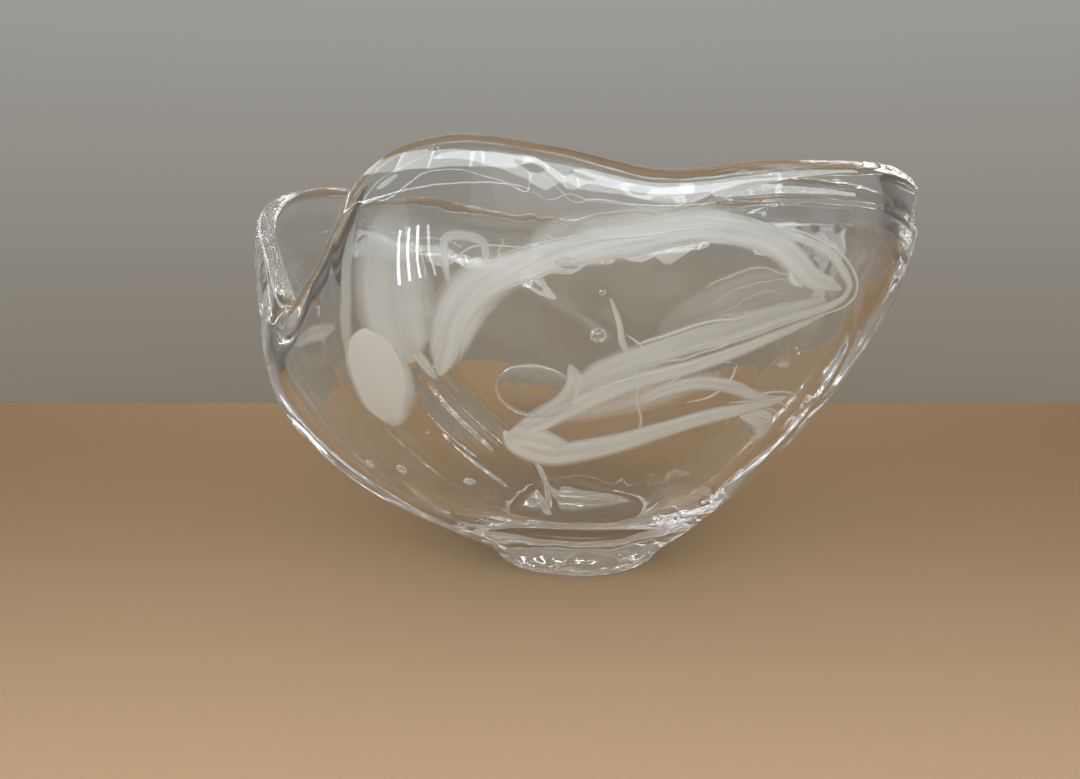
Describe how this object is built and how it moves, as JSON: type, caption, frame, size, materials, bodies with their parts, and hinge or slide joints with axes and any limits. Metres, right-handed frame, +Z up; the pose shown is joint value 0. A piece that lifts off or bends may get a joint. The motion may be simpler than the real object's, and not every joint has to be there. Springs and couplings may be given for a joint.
{
  "type": "art glass bowl",
  "caption": "Free-blown clear glass bowl with a lobed, folded rim, white enamel swirls cased in the wall and a low applied foot.",
  "frame": {"origin": "centre of the foot's flat underside", "axes": "+Z up out of the bowl, +X along its length; the tall front lobe and the white work face -Y"},
  "size_m": [0.1736, 0.1373, 0.104],
  "materials": {
    "clear_glass": "fire-polished",
    "white_glass": "smooth enamel glass under clear casing",
    "pale_glass": "thin translucent enamel glass under clear casing"
  },
  "bodies": {
    "root": {"outer_casing": "clear_glass", "inner_gather": "clear_glass", "applied_foot": "clear_glass", "white_drop": "white_glass", "white_veil": "pale_glass", "left_streak": "pale_glass", "left_band": "pale_glass", "upper_ribbon": "white_glass", "return_band": "pale_glass", "lower_ribbon": "white_glass", "middle_ribbon": "white_glass", "third_ribbon": "white_glass", "brushed_hook": "white_glass", "crossing_strand": "white_glass", "looped_thread": "white_glass"}
  },
  "joints": []
}
